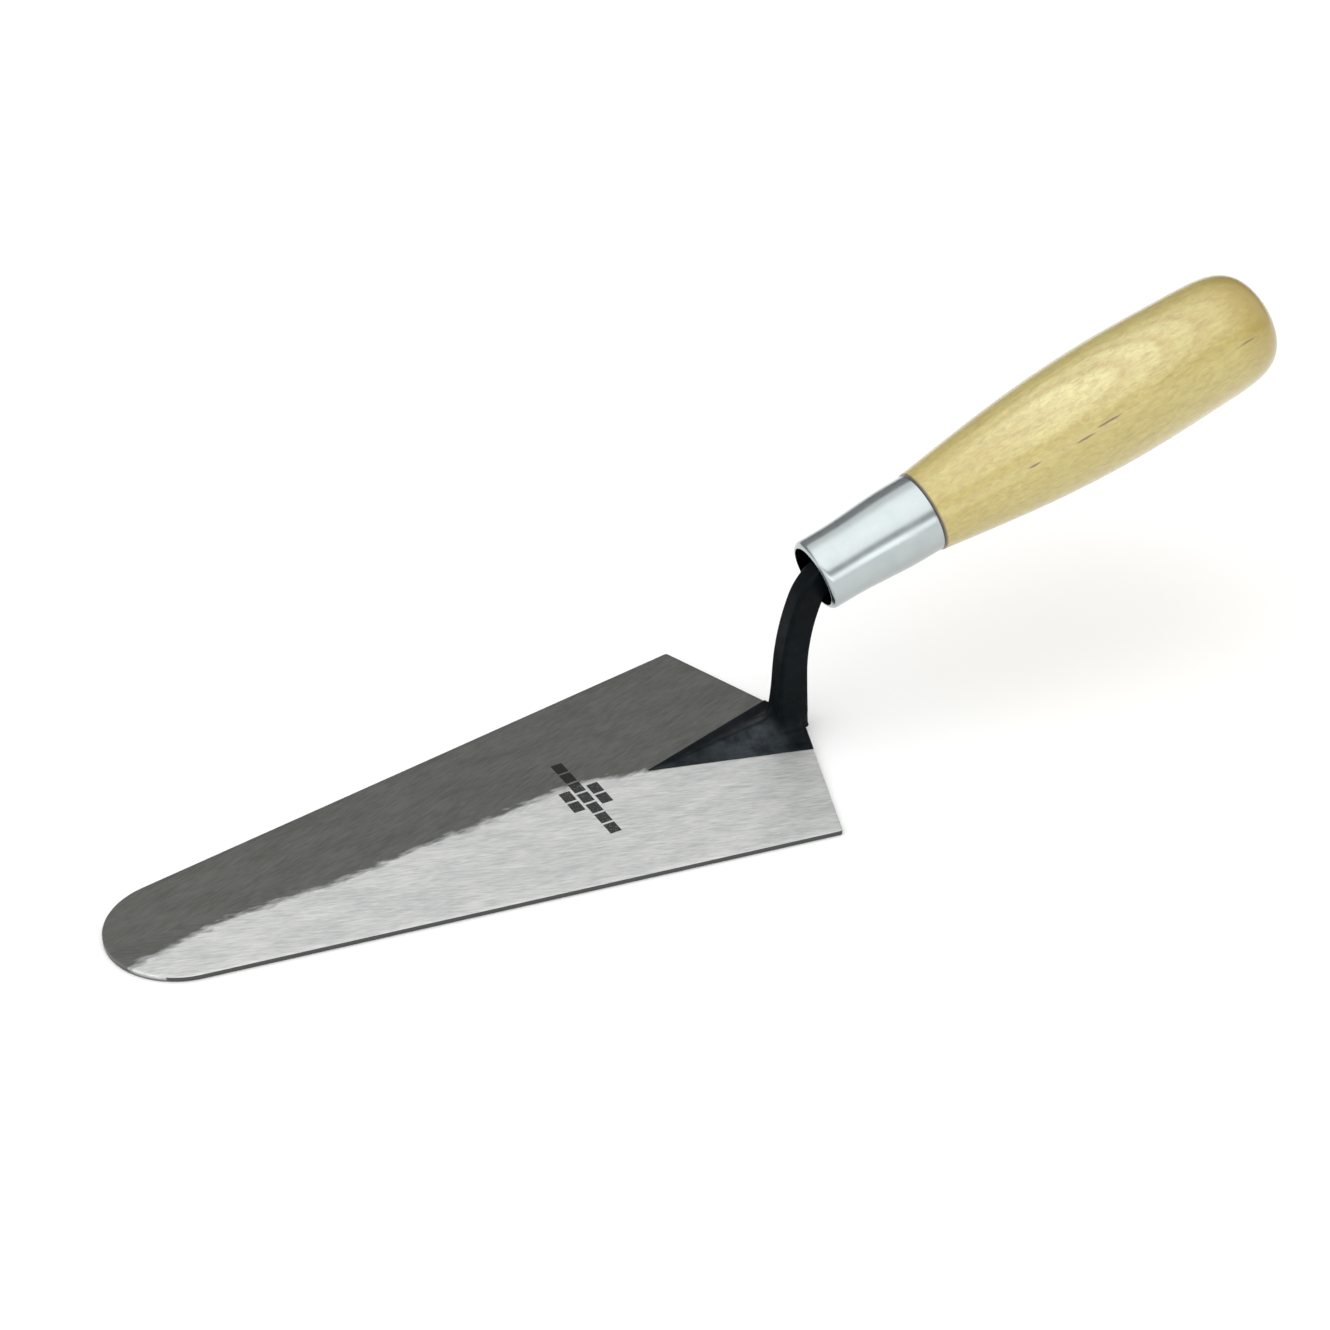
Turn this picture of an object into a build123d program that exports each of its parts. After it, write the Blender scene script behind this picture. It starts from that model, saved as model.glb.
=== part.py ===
from build123d import *
import os
from math import asin, atan2, cos, hypot, radians, sin, tan

# A gauging trowel: a round-nosed blade, a tang with a triangular foot and a cranked neck, a drawn
# steel ferrule and a turned wooden handle. Millimetres.
#
# The blade lies flat on XY with its underside at Z = 0. The origin is on the underside, straight
# below the neck. +X runs to the butt of the handle, and XZ is the plane of symmetry.

# --- blade -----------------------------------------------------------------------------------
blade_length = 178.3        # toe to the point of the heel
blade_width = 85.7          # across the heel, between its corners before they are rounded
heel_point = 14.3           # how far the heel's point stands behind its corners
toe_radius = 18.4           # the round nose
corner_radius = 0.7         # the heel's corners, seen from above
edge_thickness = 1.2        # along the ground sides
ridge_thickness = 1.8       # at the point of the heel, where the two ground facets are highest
ridge_radius = 80.0         # the soft top of the ridge between the facets
heel_behind_neck = 3.4      # from the middle of the neck to the point of the heel

# --- tang: foot, neck and spike --------------------------------------------------------------
foot_reach = 38.9           # from the middle of the neck forward to the foot's tip
foot_width = 23.6           # across the foot's back corners
foot_inset = 0.1            # the foot stops this far short of the heel's edges
foot_tip_radius = 0.4
rim_height = 0.35           # the foot's flat rim, above the blade
wedge_reach = 34.8          # from the middle of the neck forward to the tip of the raised wedge
wedge_width = 15.4          # across the back of the wedge
wedge_step = 0.6            # height of the wedge's back corners above the rim
wedge_height = 6.4          # top of the wedge above the underside, at the front of the neck
bar_depth = 6.9             # the neck's section, fore and aft
bar_width = 5.4             # the neck's section, across
bar_rounding = 1.0
root_lead = 2.2             # the neck's root is this much deeper in front, inside the foot
root_side = 0.2             # and this much wider on each side
neck_rise = 16.3            # height at which the upright neck begins to lean, and its root ends
neck_bend_radius = 51.5
neck_lean = 22.0            # degrees from upright at the end of the long bend
neck_straight = 0.2         # from there to the start of the elbow
elbow_radius = 12.4
spike_length = 76.5         # from the ferrule's mouth to the spike's end
spike_tip = 3.0             # side of the spike's blunt square end

# --- ferrule ---------------------------------------------------------------------------------
handle_angle = 16.06        # degrees between the handle's axis and the blade
mouth_behind = 0.2          # the ferrule's mouth is this far behind the elbow's corner
mouth_clearance = 1.0       # between the opening and the corners of the neck, which crosses it
ferrule_length = 30.9
ferrule_wall = 0.9
lip_width = 2.1             # from the edge of the opening to the outside of the nose
lip_radius = 1.6            # rounding of the lip, outside
nose_length = 9.5           # mouth to the start of the cone
cone_step = 0.95            # the skirt's radius is this much more than the nose's
skirt_length = 8.5          # from the end of the cone to the wood

# --- handle: distances are along the axis from the ferrule's end -----------------------------
handle_length = 99.0
shoulder_step = 0.35        # the shoulder stands this much proud of the ferrule
shoulder_chamfer = 0.35
shoulder_slope = 0.13       # of the side where it leaves the shoulder
throat_at = 25.7
throat_radius = 13.5
belly_at = 57.7
belly_radius = 15.4
butt_at = 80.7              # where the side begins to round into the butt
butt_radius = 14.9
butt_slope = -0.03          # of the side at that place
butt_run = 13.8             # how far the side carries on before it turns in
end_fullness = 13.5         # how square the end is: up to butt_radius
tenon_setback = 7.5         # the tenon ends this far inside the ferrule's mouth
tenon_clearance = 0.05      # on the radius, between the tenon and the ferrule's bore


# The blade's side leaves the heel's corner and runs tangent to the round nose, so its angle
# follows from the width, the length and the nose.
half_width = blade_width / 2
corner_x = heel_behind_neck - heel_point
toe_x = heel_behind_neck - blade_length
nose_x = toe_x + toe_radius
corner_reach = hypot(corner_x - nose_x, half_width)
side_angle = atan2(half_width, corner_x - nose_x) - asin(toe_radius / corner_reach)
side_start = (nose_x - toe_radius * sin(side_angle), toe_radius * cos(side_angle))


def heel_x(y, inset=0.0):
    """Where the heel's edge is, at a distance y from the middle."""
    return heel_behind_neck - inset - heel_point * abs(y) / half_width


def facet_height(x, y):
    """Height of the blade's ground facets, which rise evenly from the sides to the heel's point."""

    def from_side(px, py):
        return (half_width - abs(py)) * cos(side_angle) + (px - corner_x) * sin(side_angle)

    rise = ridge_thickness - edge_thickness
    return edge_thickness + rise * from_side(x, y) / from_side(heel_behind_neck, 0)


def plane_through(a, b, c):
    """The plane through three points, with its normal turned upwards."""
    a, b, c = Vector(*a), Vector(*b), Vector(*c)
    normal = (b - a).cross(c - a).normalized()
    if normal.Z < 0:
        normal = normal * -1
    return Plane(origin=a, x_dir=b - a, z_dir=normal)


# The ridge runs from the point of the heel down to the toe. Square to it, the two facets and the
# soft top between them have the same section all along.
facet = plane_through(
    (corner_x, half_width, edge_thickness),
    (*side_start, edge_thickness),
    (heel_behind_neck, 0, ridge_thickness),
)
facet_tilt = asin(facet.z_dir.Y)
ridge_direction = Vector(0, 1, 0).cross(facet.z_dir).normalized()
grind_length = 2 * (blade_length + blade_width)


def facet_section(raised=0.0):
    """Everything below the two facets, or below the same facets raised by a height."""
    start = Vector(heel_behind_neck, 0, ridge_thickness + raised)
    start += ridge_direction * blade_width
    soft = ridge_radius * sin(facet_tilt)
    soft_edge = (soft, -soft * tan(facet_tilt))
    soft_top = (0, ridge_radius - ridge_radius / cos(facet_tilt))
    outside = (blade_width, -blade_width * tan(facet_tilt))
    with BuildSketch(Plane(origin=start, x_dir=(0, 1, 0), z_dir=ridge_direction)) as section:
        with BuildLine():
            ThreePointArc((-soft_edge[0], soft_edge[1]), soft_top, soft_edge)
            Polyline(
                soft_edge,
                outside,
                (blade_width, -blade_width),
                (-blade_width, -blade_width),
                (-outside[0], outside[1]),
                (-soft_edge[0], soft_edge[1]),
            )
        make_face()
    return section.sketch


# --- blade: sheet steel cut to shape, then its upper face ground in two facets ----------------
with BuildPart() as blade:
    with BuildSketch(Plane.XY) as blade_outline:
        with BuildLine():
            Polyline(
                side_start, (corner_x, half_width), (heel_behind_neck, 0),
                (corner_x, -half_width), (side_start[0], -side_start[1]),
            )
            ThreePointArc(side_start, (toe_x, 0), (side_start[0], -side_start[1]))
        make_face()
        across = blade_outline.vertices().sort_by(Axis.Y)
        fillet([across[0], across[-1]], radius=corner_radius)
    extrude(amount=2 * ridge_thickness)
    extrude(facet_section(), amount=-grind_length, mode=Mode.INTERSECT)
blade.part.label = "blade"


# --- tang ------------------------------------------------------------------------------------
def foot_face(reach, width):
    """A triangle with its tip in front and a back that follows the heel, seen from above."""
    corner = (heel_x(width / 2, foot_inset), width / 2)
    with BuildSketch(Plane.XY) as face:
        with BuildLine():
            Polyline(
                (-reach, 0), corner, (heel_behind_neck - foot_inset, 0),
                (corner[0], -corner[1]), (-reach, 0),
            )
        make_face()
        fillet(face.vertices().sort_by(Axis.X)[0], radius=foot_tip_radius)
    return face.sketch


# The line of the neck: upright, leaning, and round the elbow onto the handle's axis.
lean = radians(neck_lean)
elbow_turn = 90 - neck_lean - handle_angle
elbow_tangent = elbow_radius * tan(radians(elbow_turn / 2))
elbow_reach = neck_straight + elbow_tangent
elbow_x = neck_bend_radius * (1 - cos(lean)) + elbow_reach * sin(lean)
elbow_z = neck_rise + neck_bend_radius * sin(lean) + elbow_reach * cos(lean)
axis_direction = Vector(cos(radians(handle_angle)), 0, sin(radians(handle_angle)))


def on_axis(station):
    """The point of the handle's axis at a distance behind the ferrule's mouth."""
    return Vector(elbow_x, 0, elbow_z) + axis_direction * (station + mouth_behind)


def across_axis(station):
    """The plane square to the handle's axis at a station."""
    return Plane(origin=on_axis(station), x_dir=(0, 1, 0), z_dir=axis_direction)


neck_start = facet_height(0, 0) + rim_height / 2

# The flat rim of the foot is parallel to the blade's facets.
with BuildPart() as rim:
    extrude(foot_face(foot_reach, foot_width), amount=2 * wedge_height)
    extrude(facet_section(rim_height), amount=-grind_length, mode=Mode.INTERSECT)

# The raised wedge has two facets and a ridge that climbs to the neck, whose root flares into it.
with BuildPart() as wedge:
    extrude(foot_face(wedge_reach, wedge_width), amount=2 * wedge_height)
    for side in (1, -1):
        corner_y = wedge_width / 2
        wedge_corner = (heel_x(corner_y, foot_inset), side * corner_y)
        corner_top = facet_height(*wedge_corner) + rim_height + wedge_step
        wedge_facet = plane_through(
            (-wedge_reach, 0, facet_height(-wedge_reach, 0) + rim_height),
            (*wedge_corner, corner_top),
            (-bar_depth / 2, 0, wedge_height),
        )
        split(bisect_by=wedge_facet, keep=Keep.BOTTOM)
    with BuildSketch(Plane((-root_lead / 2, 0, neck_start))) as root_bottom:
        RectangleRounded(bar_depth + root_lead, bar_width + 2 * root_side, bar_rounding)
    with BuildSketch(Plane.XY.offset(neck_rise)) as root_top:
        RectangleRounded(bar_depth, bar_width, bar_rounding)
    loft(sections=[root_bottom.sketch, root_top.sketch])

with BuildPart() as tang:
    add(rim.part)
    add(wedge.part)
    # The neck is a flat bar with rounded edges, bent on its line.
    with BuildLine(Plane.XZ) as neck_line:
        upright = Line((0, neck_start), (0, neck_rise))
        long_bend = JernArc(upright @ 1, upright % 1, neck_bend_radius, -neck_lean)
        straight_end = (long_bend @ 1) + (long_bend % 1) * neck_straight
        straight = Line(long_bend @ 1, straight_end)
        elbow = JernArc(straight @ 1, straight % 1, elbow_radius, -elbow_turn)
        Line(elbow @ 1, on_axis(tenon_setback))
    with BuildSketch(Plane.XY.offset(neck_start)):
        RectangleRounded(bar_depth, bar_width, bar_rounding)
    sweep()
    # The spike is the same bar drawn down to a blunt end, inside the handle.
    with BuildSketch(across_axis(tenon_setback)) as spike_root:
        RectangleRounded(bar_width, bar_depth, bar_rounding)
    with BuildSketch(across_axis(spike_length)) as spike_end:
        RectangleRounded(spike_tip, spike_tip, bar_rounding / 2)
    loft(sections=[spike_root.sketch, spike_end.sketch])
    add(blade.part, mode=Mode.SUBTRACT)
tang.part.label = "tang"


# --- ferrule and handle: turned about the handle's axis ---------------------------------------
# The elbow crosses the ferrule's mouth, so its inner side is low in the opening, which has to
# clear the bar's lower corners. The ferrule's radii follow from that opening.
elbow_inside = elbow_radius - bar_depth / 2
elbow_left = elbow_tangent - mouth_behind
crossing = elbow_radius - (elbow_inside**2 - elbow_left**2) ** 0.5
mouth_radius = hypot(crossing, bar_width / 2 - bar_rounding) + mouth_clearance
nose_radius = mouth_radius + lip_width
skirt_radius = nose_radius + cone_step
shoulder_radius = skirt_radius + shoulder_step

# In the turning plane X runs along the axis from the ferrule's mouth, and Y is the radius.
turning_plane = Plane(origin=on_axis(0), x_dir=axis_direction, z_dir=(0, -1, 0))
turning_axis = Axis(origin=on_axis(0), direction=axis_direction)


def ferrule_side(inward=0.0):
    """The ferrule's outside from nose to wood, or the same line moved towards the axis."""
    return [
        (lip_radius, nose_radius - inward),
        (nose_length, nose_radius - inward),
        (ferrule_length - skirt_length, skirt_radius - inward),
        (ferrule_length, skirt_radius - inward),
    ]


with BuildPart() as ferrule:
    with BuildSketch(turning_plane):
        with BuildLine():
            outside = ferrule_side()
            inside = ferrule_side(ferrule_wall)
            lip_foot = nose_radius - lip_radius
            Line((0, mouth_radius), (0, lip_foot))
            RadiusArc((0, lip_foot), outside[0], lip_radius)
            Polyline(*outside, *reversed(inside))
            RadiusArc((ferrule_wall, lip_foot), inside[0], lip_radius - ferrule_wall)
            Polyline((ferrule_wall, lip_foot), (ferrule_wall, mouth_radius), (0, mouth_radius))
        make_face()
    revolve(axis=turning_axis)
ferrule.part.label = "ferrule"


with BuildPart() as handle:
    with BuildSketch(turning_plane):
        with BuildLine():
            tenon = ferrule_side(ferrule_wall + tenon_clearance)
            tenon[0] = (tenon_setback, tenon[0][1])
            shoulder = (ferrule_length + shoulder_chamfer, shoulder_radius)
            side_end = (ferrule_length + butt_at, butt_radius)
            end = ferrule_length + handle_length
            Polyline(
                (end, 0), (tenon_setback, 0), *tenon,
                (ferrule_length, shoulder_radius - shoulder_chamfer), shoulder,
            )
            Spline(
                shoulder,
                (ferrule_length + throat_at, throat_radius),
                (ferrule_length + belly_at, belly_radius),
                side_end,
                tangents=[(1, shoulder_slope), (1, butt_slope)],
            )
            Bezier(
                side_end,
                (side_end[0] + butt_run, butt_radius + butt_slope * butt_run),
                (end, end_fullness),
                (end, 0),
            )
        make_face()
    revolve(axis=turning_axis)
    # The spike fills its hole: it was driven in.
    add(tang.part, mode=Mode.SUBTRACT)
handle.part.label = "handle"


os.makedirs("parts", exist_ok=True)
for piece in (blade, tang, ferrule, handle):
    export_step(piece.part, f"parts/{piece.part.label}.step")
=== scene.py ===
from math import asin, atan2, hypot, pi, radians, tan

import bmesh
import bpy
import numpy as np
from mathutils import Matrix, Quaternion, Vector


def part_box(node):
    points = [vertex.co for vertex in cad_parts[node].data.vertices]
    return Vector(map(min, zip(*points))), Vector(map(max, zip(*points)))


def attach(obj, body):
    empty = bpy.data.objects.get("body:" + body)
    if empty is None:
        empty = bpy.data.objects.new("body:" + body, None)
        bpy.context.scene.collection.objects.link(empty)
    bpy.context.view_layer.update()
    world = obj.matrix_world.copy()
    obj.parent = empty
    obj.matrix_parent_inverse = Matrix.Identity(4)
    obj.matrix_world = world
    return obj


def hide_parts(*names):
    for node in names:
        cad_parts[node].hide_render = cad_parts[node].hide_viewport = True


# A gauging trowel: a ground steel blade, a black forged tang, a zinc-plated ferrule and a turned,
# lacquered handle. Metres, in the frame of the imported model: the blade's underside at Z = 0, +X to
# the butt of the handle, XZ the plane of symmetry.
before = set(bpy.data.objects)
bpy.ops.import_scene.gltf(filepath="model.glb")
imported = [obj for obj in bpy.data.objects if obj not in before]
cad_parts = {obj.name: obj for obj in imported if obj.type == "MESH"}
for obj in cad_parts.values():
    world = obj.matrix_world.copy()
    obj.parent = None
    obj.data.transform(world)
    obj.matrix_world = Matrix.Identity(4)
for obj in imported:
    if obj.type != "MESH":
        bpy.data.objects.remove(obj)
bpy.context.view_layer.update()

# --- Studio -------------------------------------------------------------------------------------
# A white floor under a bright overhead dome. Low down behind the tool the dome stops at a straight
# edge and the room is dim, so that the ground faces of the blade show one bright and one dark half.
MM = 0.001                  # in metres
dome_edge = 38.6            # degrees above the horizon behind the tool, turning about the X axis
edge_blur = 0.6             # degrees to each side of that edge
bands = [                   # degrees from the far horizon over the top to the near one, brightness
    (0, 0.24), (dome_edge - edge_blur, 0.28), (dome_edge + edge_blur, 0.80), (55, 0.85), (73, 1.30),
    (110, 1.35), (141, 1.25), (149, 0.40), (160, 0.48), (167, 1.7), (180, 1.5),
]
band_scale = 2.0            # the ramp holds brightness divided by this
end_light = [(0.18, 1.29), (0.46, 0.66)]    # X part of a direction, and its share of the light


def link_node(tree, kind, inputs=(), **settings):
    """Adds a node, sets its properties, and links or sets its inputs by name or number."""
    made = tree.nodes.new(kind)
    for key, value in settings.items():
        setattr(made, key, value)
    for key, value in dict(inputs).items():
        if isinstance(value, bpy.types.NodeSocket):
            tree.links.new(value, made.inputs[key])
        else:
            made.inputs[key].default_value = value
    return made


def maths(tree, operation, *values):
    """One Math node."""
    return link_node(tree, "ShaderNodeMath", dict(enumerate(values)), operation=operation).outputs[0]


def ranged(tree, value, low, high, new_low, new_high):
    """One Map Range node: low to high becomes new_low to new_high, and stays within them."""
    return link_node(tree, "ShaderNodeMapRange", {
        "Value": value, "From Min": low, "From Max": high, "To Min": new_low, "To Max": new_high,
    }).outputs[0]


def toned(tree, value, stops):
    """The colour that a ramp of (position, colour) stops has at a value."""
    made = link_node(tree, "ShaderNodeValToRGB", {"Fac": value})
    elements = made.color_ramp.elements
    while len(elements) < len(stops):
        elements.new(0.5)
    for element, (position, colour) in zip(elements, stops):
        element.position = position
        element.color = (*colour, 1)
    return made.outputs["Color"]


studio = bpy.data.worlds.new("studio")
bpy.context.scene.world = studio
studio.use_nodes = True
sky = studio.node_tree
direction = link_node(sky, "ShaderNodeTexCoord").outputs["Generated"]
ray = link_node(sky, "ShaderNodeSeparateXYZ", {0: direction})
from_far = maths(sky, "DIVIDE", maths(sky, "ARCTAN2", ray.outputs["Z"], ray.outputs["Y"]), pi)
dome = toned(sky, from_far, [(angle / 180, (light / band_scale,) * 3) for angle, light in bands])
(first_x, first_share), (last_x, last_share) = end_light
strength = ranged(sky, ray.outputs["X"], first_x, last_x, first_share, last_share)
background = sky.nodes["Background"]
sky.links.new(dome, background.inputs["Color"])
sky.links.new(maths(sky, "MULTIPLY", strength, band_scale), background.inputs["Strength"])

floor_half = 3.0
floor_gap = 0.2 * MM        # below the blade
floor_white = (0.96, 0.96, 0.96, 1)
floor_mesh = bpy.data.meshes.new("floor")
floor_signs = [(-1, -1), (1, -1), (1, 1), (-1, 1)]
floor_corners = [(x * floor_half, y * floor_half, 0) for x, y in floor_signs]
floor_mesh.from_pydata(floor_corners, [], [(0, 1, 2, 3)])
floor = bpy.data.objects.new("floor", floor_mesh)
floor.location.z = -floor_gap
bpy.context.scene.collection.objects.link(floor)
floor_paint = bpy.data.materials.new("floor_paint")
floor_paint.use_nodes = True
paint = floor_paint.node_tree.nodes["Principled BSDF"]
paint.inputs["Base Color"].default_value = floor_white
paint.inputs["Roughness"].default_value = 0.9
paint.inputs["Specular IOR Level"].default_value = 0.0
floor_mesh.materials.append(floor_paint)

# --- Camera: from the near side of the toe, looking down on the blade ---------------------------
camera_azimuth = radians(-27.51)
camera_elevation = radians(33.61)
camera_roll = radians(-1.58)
camera_distance = 836.56 * MM
camera_target = Vector((-33.6, 0, 30.0)) * MM
lens_length, sensor_width = 97.44, 36.0
back = Vector((
    np.sin(camera_azimuth) * np.cos(camera_elevation),
    -np.cos(camera_azimuth) * np.cos(camera_elevation),
    np.sin(camera_elevation),
))
lens = bpy.data.cameras.new("camera")
lens.sensor_width = sensor_width
lens.lens = lens_length
lens.clip_start, lens.clip_end = 0.01, 20.0
camera = bpy.data.objects.new("camera", lens)
bpy.context.scene.collection.objects.link(camera)
camera.rotation_mode = "QUATERNION"
camera.rotation_quaternion = (-back).to_track_quat("-Z", "Y") @ Quaternion((0, 0, 1), camera_roll)
camera.location = camera_target + back * camera_distance
bpy.context.scene.camera = camera
bpy.context.scene.view_settings.view_transform = "Standard"

# --- Blade --------------------------------------------------------------------------------------
# Carbon steel sheet cut to a round-nosed taper with a shallow pointed heel. The upper face is
# ground in two facets that meet in a soft ridge near the middle, and is left bare.
blade_low, blade_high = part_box("blade")
toe_x = blade_low.x
heel_x = blade_high.x
half_width = 42.85 * MM     # to the heel's corners, before they are rounded
heel_point = 14.3 * MM
toe_radius = 18.4 * MM
corner_radius = 0.7 * MM
edge_thickness = 1.2 * MM
ridge_thickness = 1.8 * MM
ridge_softness = 0.5 * MM   # half the width over which the two facets blend
ridge_wander = [            # millimetres along X, and how far the ridge is to the far side there
    (-175, -9.0), (-160, -5.2), (-146, -2.9), (-132, -2.9), (-116, -2.4), (-97, -0.1), (-76, 1.6),
    (-60, 4.0), (-38, 0.0), (4, 0.0),
]
ridge_first_slope = 0.3     # of the ridge's line at the nose
edge_bevel = 0.1 * MM
spine_toe = 0.6             # of the nose's radius, where the line inside the blade starts
spine_heel = 5 * MM         # from the heel, where it ends
row_crowding = 1.6          # of the mesh's rows towards that line
corner_x = heel_x - heel_point
nose_x = toe_x + toe_radius
corner_reach = hypot(corner_x - nose_x, half_width)
side_angle = atan2(half_width, corner_x - nose_x) - asin(toe_radius / corner_reach)


def grid_mesh(name, points, material, **values):
    """A closed surface from a grid of points that wraps round its second index. The first and the
    last row are poles or meet themselves, and doubled points are merged, which closes them. Each
    extra value is a grid of numbers that the material reads by its name."""
    rows, columns = points.shape[:2]
    here = np.arange(rows * columns).reshape(rows, columns)
    wrapped = np.roll(here, -1, axis=1)
    quads = np.stack([here[:-1], wrapped[:-1], wrapped[1:], here[1:]], axis=-1).reshape(-1, 4)
    mesh = bpy.data.meshes.new(name)
    mesh.from_pydata(points.reshape(-1, 3).tolist(), [], quads.tolist())
    for key, numbers in values.items():
        mesh.attributes.new(key, "FLOAT", "POINT").data.foreach_set("value", numbers.reshape(-1))
    work = bmesh.new()
    work.from_mesh(mesh)
    bmesh.ops.remove_doubles(work, verts=work.verts, dist=1e-7)
    bmesh.ops.dissolve_degenerate(work, edges=work.edges, dist=1e-8)
    bmesh.ops.recalc_face_normals(work, faces=work.faces)
    work.to_mesh(mesh)
    work.free()
    mesh.polygons.foreach_set("use_smooth", np.full(len(mesh.polygons), True))
    mesh.materials.append(material)
    piece = bpy.data.objects.new(name, mesh)
    bpy.context.scene.collection.objects.link(piece)
    return piece


def arc(centre, radius, first, last, count):
    """Points on an arc between two angles, both ends included."""
    angle = np.linspace(first, last, count)
    return np.stack([centre[0] + radius * np.cos(angle), centre[1] + radius * np.sin(angle)], axis=-1)


def run(start, end, count):
    """Points evenly along a straight line, without its end."""
    share = np.arange(count)[:, None] / count
    return np.array(start) * (1 - share) + np.array(end) * share


def blade_outline():
    """Round the blade: heel point, far corner, far side, nose, and the same mirrored back. The
    corner's arc touches both of its lines, and the nose's arc runs on from the side."""
    corner = np.array([corner_x, half_width])
    to_heel = np.array([heel_x, 0]) - corner
    to_heel /= np.linalg.norm(to_heel)
    to_nose = np.array([-np.cos(side_angle), -np.sin(side_angle)])
    half_turn = np.arccos(to_heel @ to_nose) / 2
    middle = (to_heel + to_nose) / np.linalg.norm(to_heel + to_nose)
    centre = corner + middle * corner_radius / np.sin(half_turn)
    reach = corner_radius / np.tan(half_turn)
    first, last = corner + to_heel * reach - centre, corner + to_nose * reach - centre
    turn = arc(centre, corner_radius, np.arctan2(first[1], first[0]), np.arctan2(last[1], last[0]), 9)
    nose = arc((nose_x, 0), toe_radius, pi / 2 + side_angle, pi, 56)
    far = np.concatenate([run((heel_x, 0), turn[0], 40), turn, run(turn[-1], nose[0], 150)[1:], nose])
    return np.concatenate([far, (far * [1, -1])[-2:0:-1]])


def cubic_through(places, values, first_slope, last_slope, at):
    """A smooth cubic spline through points with given end slopes: inner slopes solve the usual
    three-term equations for a continuous second derivative."""
    gaps = np.diff(places)
    rises = np.diff(values) / gaps
    count = len(places)
    system, known = np.eye(count), np.zeros(count)
    known[0], known[-1] = first_slope, last_slope
    for k in range(1, count - 1):
        system[k, k - 1:k + 2] = 1 / gaps[k - 1], 2 / gaps[k - 1] + 2 / gaps[k], 1 / gaps[k]
        known[k] = 3 * (rises[k - 1] / gaps[k - 1] + rises[k] / gaps[k])
    slopes = np.linalg.solve(system, known)
    k = np.clip(np.searchsorted(places, at) - 1, 0, count - 2)
    share = (at - places[k]) / gaps[k]
    return (
        values[k] * (1 + 2 * share) * (1 - share) ** 2 + slopes[k] * gaps[k] * share * (1 - share) ** 2
        + values[k + 1] * share**2 * (3 - 2 * share) - slopes[k + 1] * gaps[k] * share**2 * (1 - share)
    )


def ridge_y(x):
    """Where the ridge is, by the smooth curve through the places above."""
    places, off = np.array(ridge_wander).T * MM
    return cubic_through(places, off, ridge_first_slope, 0.0, np.clip(x, places[0], places[-1]))


def blade_top(x, y):
    """Height of the ground face: it falls evenly from the ridge to each side, where the distance
    from the ridge is taken as a rounded absolute value and the ridge is lower where the blade is
    narrower."""
    width = half_width + (x - corner_x) * np.tan(side_angle)
    off = y - ridge_y(x)
    to_side = width - np.sign(off) * ridge_y(x)
    share = (np.sqrt(off**2 + ridge_softness**2) - ridge_softness) / to_side
    full = half_width + heel_point * np.tan(side_angle)
    return edge_thickness + (ridge_thickness - edge_thickness) * width / full * (1 - share)


def blade_points():
    """The outline carried inwards to a line along the middle, above and below, with a quarter
    round at each edge. The line is shorter than the blade, so that the rows fan out at its ends."""
    outline = blade_outline()
    spine_low, spine_high = toe_x + spine_toe * toe_radius, heel_x - spine_heel
    reach = (outline[:, 0] - toe_x) / (heel_x - toe_x)
    spine = np.stack([spine_low + (spine_high - spine_low) * reach, 0 * reach], axis=-1)
    length = np.linalg.norm(spine - outline, axis=1)
    inward = (spine - outline) / length[:, None]
    inner = length[:, None] - edge_bevel
    round_off = np.linspace(0, pi / 2, 5)
    bevel = edge_bevel * (1 - np.cos(round_off))
    drop = edge_bevel * (1 - np.sin(round_off))
    rows, below = [], []
    for inset, lower in zip(bevel, drop):
        flat = outline + inward * inset
        rows.append(np.column_stack([flat, blade_top(*flat.T) - lower]))
        below.append(np.column_stack([flat, lower + 0 * length]))
    for share in 1 - (1 - np.linspace(0, 1, 30)[1:]) ** row_crowding:
        flat = outline + inward * (edge_bevel + inner * share)
        rows.append(np.column_stack([flat, blade_top(*flat.T)]))
    for share in (0.3, 0.7, 1.0):
        flat = outline + inward * (edge_bevel + inner * share)
        below.append(np.column_stack([flat, 0 * length]))
    return np.array(rows[::-1] + below)


def new_material(name):
    """A node material, with its tree and its shader."""
    material = bpy.data.materials.new(name)
    material.use_nodes = True
    return material, material.node_tree, material.node_tree.nodes["Principled BSDF"]


def object_place(tree):
    """Object coordinates."""
    return link_node(tree, "ShaderNodeTexCoord").outputs["Object"]


def surface_value(tree, name):
    """A number that the mesh carries, by its name."""
    return link_node(tree, "ShaderNodeAttribute", attribute_name=name).outputs["Fac"]


def noise(tree, place, waves, detail, roughness=0.5, distortion=0.0, turn=0.0):
    """Noise of so many waves per metre along each axis. The turn, about Z, comes after that."""
    fitted = link_node(tree, "ShaderNodeMapping", {
        "Vector": place, "Scale": waves, "Rotation": (0, 0, turn),
    })
    return link_node(tree, "ShaderNodeTexNoise", {
        "Vector": fitted.outputs[0], "Scale": 1.0, "Detail": detail, "Roughness": roughness,
        "Distortion": distortion,
    }).outputs["Fac"]


def off_middle(tree, value):
    """How far noise is above its middle value."""
    return maths(tree, "SUBTRACT", value, 0.5)


def product(tree, first, *others):
    """All values multiplied."""
    for other in others:
        first = maths(tree, "MULTIPLY", first, other)
    return first


def mixed(tree, share, first, second):
    """A share of the second colour over the first."""
    second = second if isinstance(second, bpy.types.NodeSocket) else (*second, 1)
    return link_node(tree, "ShaderNodeMix", {0: share, 6: first, 7: second}, data_type="RGBA").outputs[2]


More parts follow.
